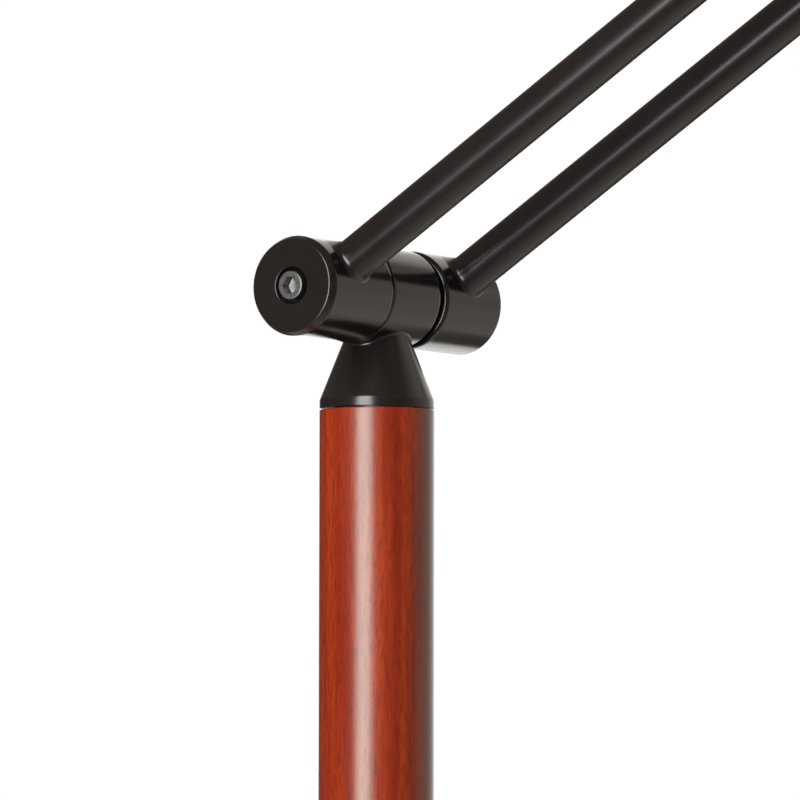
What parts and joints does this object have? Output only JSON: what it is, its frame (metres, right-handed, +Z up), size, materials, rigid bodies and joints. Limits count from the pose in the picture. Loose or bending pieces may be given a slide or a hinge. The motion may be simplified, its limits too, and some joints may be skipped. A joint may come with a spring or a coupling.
{
  "type": "adjustable floor lamp",
  "caption": "Reading floor lamp: stained wooden column on a round weighted base, tube arms on a friction hinge at its top, and a tilting conical shade with a turn switch.",
  "frame": {"origin": "centre of the base's underside, on the floor under the column", "axes": "+Z up along the column, +X the way the arms reach, Y along both hinge axes"},
  "size_m": [0.7067, 0.28, 1.3728],
  "materials": {
    "black_paint": "satin black paint on steel",
    "shade_paint": "satin black outside, matt white inside",
    "cherry_wood": "cherry stain under satin lacquer",
    "black_steel": "black oxide",
    "zinc_steel": "zinc plated",
    "iron": "as cast, painted grey",
    "foam": "black closed-cell foam",
    "black_plastic": "moulded black plastic",
    "black_fibre": "black fibre",
    "nylon": "natural nylon",
    "white_phenolic": "moulded white heat-proof plastic",
    "brass": "bright",
    "bulb_metal": "rolled thread",
    "opal_glass": "opal white"
  },
  "bodies": {
    "stand": {"base_pad": "foam", "base_weight": "iron", "base_cover": "black_paint", "cord_gland": "black_plastic", "rod_washer": "zinc_steel", "rod_nut": "zinc_steel", "column_rod": "zinc_steel", "foot_cone": "black_paint", "column": "cherry_wood", "swivel_post": "zinc_steel"},
    "shoulder": {"swivel_washer": "nylon", "shoulder_tee": "black_paint", "swivel_screw": "black_steel", "shoulder_front_ring": "black_fibre", "shoulder_rear_ring": "black_fibre"},
    "arms": {"front_shoulder_drum": "black_paint", "rear_shoulder_drum": "black_paint", "front_arm_tube": "black_paint", "rear_arm_tube": "black_paint", "front_head_drum": "black_paint", "rear_head_drum": "black_paint", "weld_beads": "black_paint", "shoulder_bolt": "black_steel", "shoulder_disc_spring": "zinc_steel", "shoulder_nut": "black_steel", "head_bolt": "black_steel", "head_disc_spring": "zinc_steel", "head_nut": "black_steel"},
    "head": {"head_tee": "black_paint", "head_front_ring": "black_fibre", "head_rear_ring": "black_fibre", "nipple": "zinc_steel", "socket_cup": "black_paint", "lampholder": "white_phenolic", "screw_shell": "brass", "centre_contact": "brass", "shade_ring": "white_phenolic", "shade": "shade_paint", "bulb_cap": "bulb_metal", "bulb_glass": "opal_glass"},
    "switch": {"switch_spindle": "brass", "switch_knob": "black_plastic"}
  },
  "joints": [
    {"name": "column_swivel", "type": "hinge", "parent": "stand", "child": "shoulder", "pos_m": [0, 0, 1.0368], "axis": [0, 0, 1], "range_deg": [-170, 170]},
    {"name": "shoulder_tilt", "type": "hinge", "parent": "shoulder", "child": "arms", "pos_m": [0, 0, 1.06], "axis": [0, -1, 0], "range_deg": [-62.2, 52.8]},
    {"name": "head_tilt", "type": "hinge", "parent": "arms", "child": "head", "pos_m": [0.47387, 0, 1.35841], "axis": [0, -1, 0], "range_deg": [-20, 110]},
    {"name": "switch_turn", "type": "hinge", "parent": "head", "child": "switch", "pos_m": [0.5065, 0, 1.29821], "axis": [1, 0, 0], "continuous": true}
  ]
}
